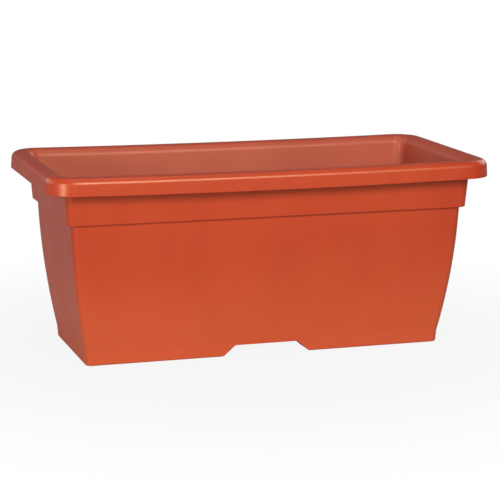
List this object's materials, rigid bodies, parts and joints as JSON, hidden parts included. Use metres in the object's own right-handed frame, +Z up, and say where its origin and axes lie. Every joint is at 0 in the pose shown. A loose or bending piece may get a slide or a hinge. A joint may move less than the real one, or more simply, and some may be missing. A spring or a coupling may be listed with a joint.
{
  "type": "window box planter",
  "caption": "Oblong planting trough with a broad turned-down rim, stepped band, bowed tapering walls, a drain channel across the base and lift-out drain plugs",
  "frame": {"origin": "On the ground, under the middle of the trough's footprint", "axes": "+X along the trough's length, +Y from the front to the back, +Z up"},
  "size_m": [0.5, 0.244, 0.212],
  "materials": {
    "trough_plastic": "satin moulded polypropylene, terracotta colour",
    "plug_plastic": "satin moulded polyethylene, terracotta colour"
  },
  "bodies": {
    "trough_body": {"trough": "trough_plastic"},
    "plug_1": {"drain_plug_1": "plug_plastic"},
    "plug_2": {"drain_plug_2": "plug_plastic"},
    "plug_3": {"drain_plug_3": "plug_plastic"},
    "plug_4": {"drain_plug_4": "plug_plastic"}
  },
  "joints": [
    {"name": "plug_1_lift", "type": "slide", "parent": "trough_body", "child": "plug_1", "axis": [0, 0, 1], "range_m": [0, 0.22]},
    {"name": "plug_2_lift", "type": "slide", "parent": "trough_body", "child": "plug_2", "axis": [0, 0, 1], "range_m": [0, 0.22]},
    {"name": "plug_3_lift", "type": "slide", "parent": "trough_body", "child": "plug_3", "axis": [0, 0, 1], "range_m": [0, 0.22]},
    {"name": "plug_4_lift", "type": "slide", "parent": "trough_body", "child": "plug_4", "axis": [0, 0, 1], "range_m": [0, 0.22]}
  ]
}
